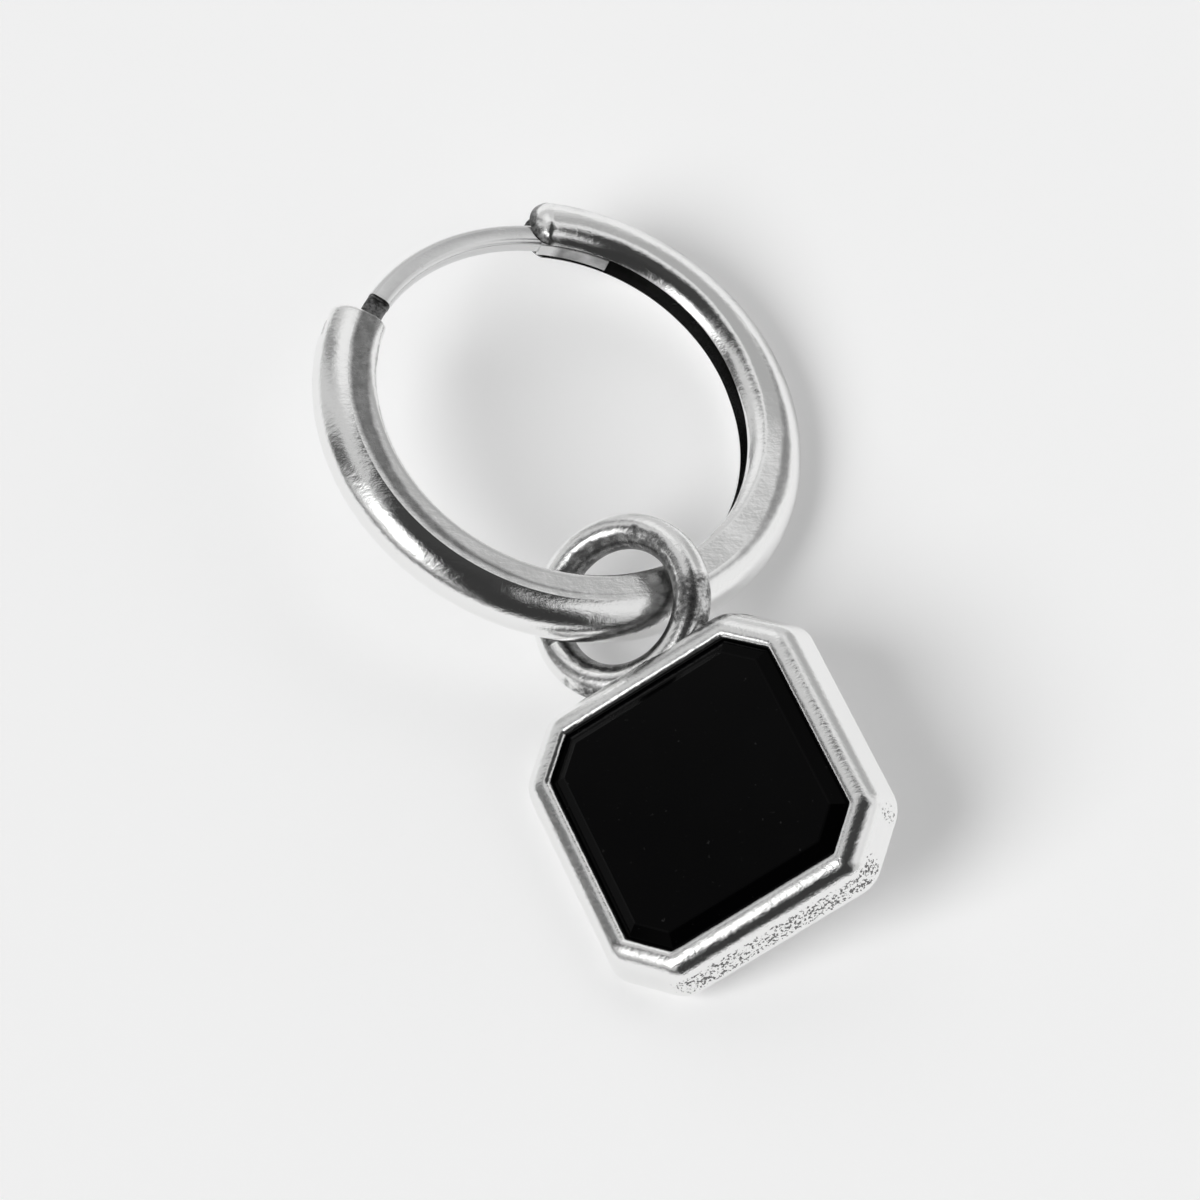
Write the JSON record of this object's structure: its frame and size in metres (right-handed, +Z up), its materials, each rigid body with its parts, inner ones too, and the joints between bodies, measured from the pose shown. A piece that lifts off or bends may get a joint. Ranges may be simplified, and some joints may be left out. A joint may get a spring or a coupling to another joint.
{
  "type": "earring",
  "caption": "Hinged huggie hoop earring with a square cut-corner black stone in a bezel, hung from a soldered loop, lying on a surface.",
  "frame": {"origin": "centre of the outline on the surface the earring lies on", "axes": "+Z up from the surface, +Y away from the viewer from the drop towards the hoop's hinge, +X to the viewer's right"},
  "size_m": [0.0146, 0.0218, 0.0049],
  "materials": {
    "silver": "polished",
    "silver_post": "satin",
    "onyx": "gloss"
  },
  "bodies": {
    "hoop_and_drop": {"hoop": "silver", "hinge_pin": "silver", "setting": "silver", "stone": "onyx"},
    "post": {"ear_post": "silver_post"}
  },
  "joints": [
    {"name": "post_hinge", "type": "hinge", "parent": "hoop_and_drop", "child": "post", "pos_m": [-0.00128, 0.01024, 0.00229], "axis": [-0.2987, -0.041, -0.9535], "range_deg": [0, 60]}
  ]
}
